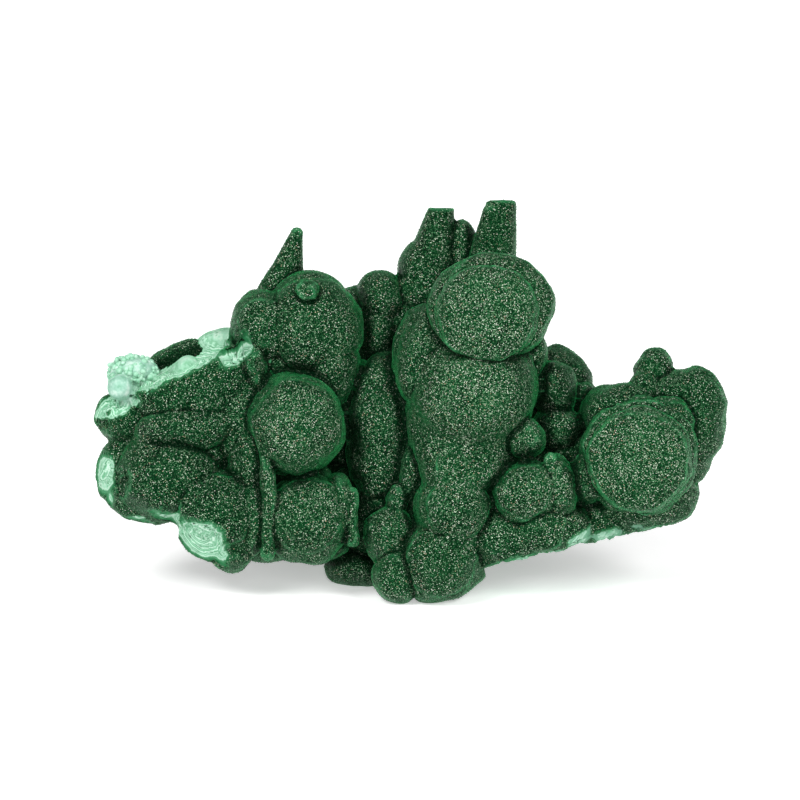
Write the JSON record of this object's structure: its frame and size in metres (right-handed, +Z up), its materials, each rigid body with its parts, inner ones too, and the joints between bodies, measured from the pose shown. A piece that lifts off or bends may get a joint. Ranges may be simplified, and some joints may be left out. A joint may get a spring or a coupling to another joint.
{
  "type": "malachite specimen",
  "caption": "Freestanding cabinet specimen of botryoidal malachite: fused rounded lumps and stubby stalactites in dark green, with pale banded stone on its broken edges.",
  "frame": {"origin": "middle of the underside of its bounding box, at the level of the flat base it rests on", "axes": "+X across the display face to the viewer's right, +Y away from the viewer into the specimen, +Z up"},
  "size_m": [0.158, 0.0782, 0.0941],
  "materials": {
    "malachite": "drusy, finely sparkling dark green skin; silky pale green banding where broken"
  },
  "bodies": {
    "root": {"malachite": "malachite"}
  },
  "joints": []
}
